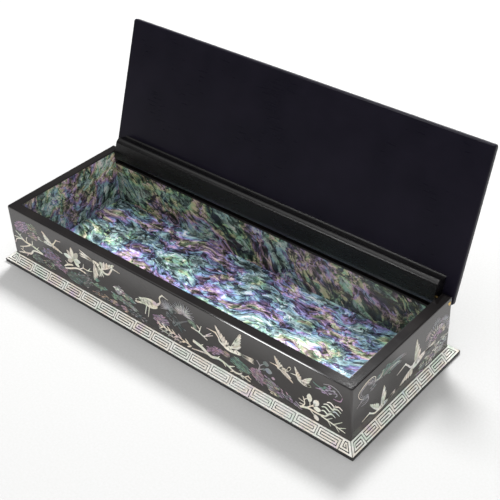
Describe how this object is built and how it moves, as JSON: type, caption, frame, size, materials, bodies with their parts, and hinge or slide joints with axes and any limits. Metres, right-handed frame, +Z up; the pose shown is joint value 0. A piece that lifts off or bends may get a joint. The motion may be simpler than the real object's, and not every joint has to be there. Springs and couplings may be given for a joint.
{
  "type": "hinged pen box",
  "caption": "Long low lacquered box with a key-patterned pearl plinth, an abalone-lined well for pens, and a flat lid that swings up on a rounded rail and leans back.",
  "frame": {"origin": "centre of the underside of the plinth, on the surface the box stands on", "axes": "+X along the box towards its right end as seen from the front, +Y from the front towards the hinge side, +Z up"},
  "size_m": [0.2496, 0.1189, 0.1111],
  "materials": {
    "body_lacquer": "black lacquer over wood, polished",
    "plinth_lacquer": "black lacquer over wood, polished",
    "lid_lacquer": "black lacquer over wood, satin",
    "rail_lacquer": "black lacquer over wood, polished",
    "board_wood": "bare softwood board",
    "key_pearl": "white mother-of-pearl, sawn and polished flush",
    "abalone_sheet": "abalone veneer, iridescent, polished",
    "black_felt": "pressed wool felt",
    "pin_brass": "turned brass wire, lightly tarnished"
  },
  "bodies": {
    "box": {"front_wall": "body_lacquer", "right_wall": "body_lacquer", "back_wall": "body_lacquer", "left_wall": "body_lacquer", "floor_board": "board_wood", "base_felt": "black_felt", "front_lining": "abalone_sheet", "right_lining": "abalone_sheet", "back_lining": "abalone_sheet", "left_lining": "abalone_sheet", "floor_lining": "abalone_sheet", "front_plinth": "plinth_lacquer", "right_plinth": "plinth_lacquer", "back_plinth": "plinth_lacquer", "left_plinth": "plinth_lacquer", "front_key_border": "key_pearl", "right_key_border": "key_pearl", "back_key_border": "key_pearl", "left_key_border": "key_pearl", "left_hinge_pin": "pin_brass", "right_hinge_pin": "pin_brass"},
    "lid": {"lid_panel": "lid_lacquer", "hinge_rail": "rail_lacquer"}
  },
  "joints": [
    {"name": "lid_hinge", "type": "hinge", "parent": "box", "child": "lid", "pos_m": [0, 0.0395, 0.03532], "axis": [1, 0, 0], "range_deg": [0, 108.8]}
  ]
}
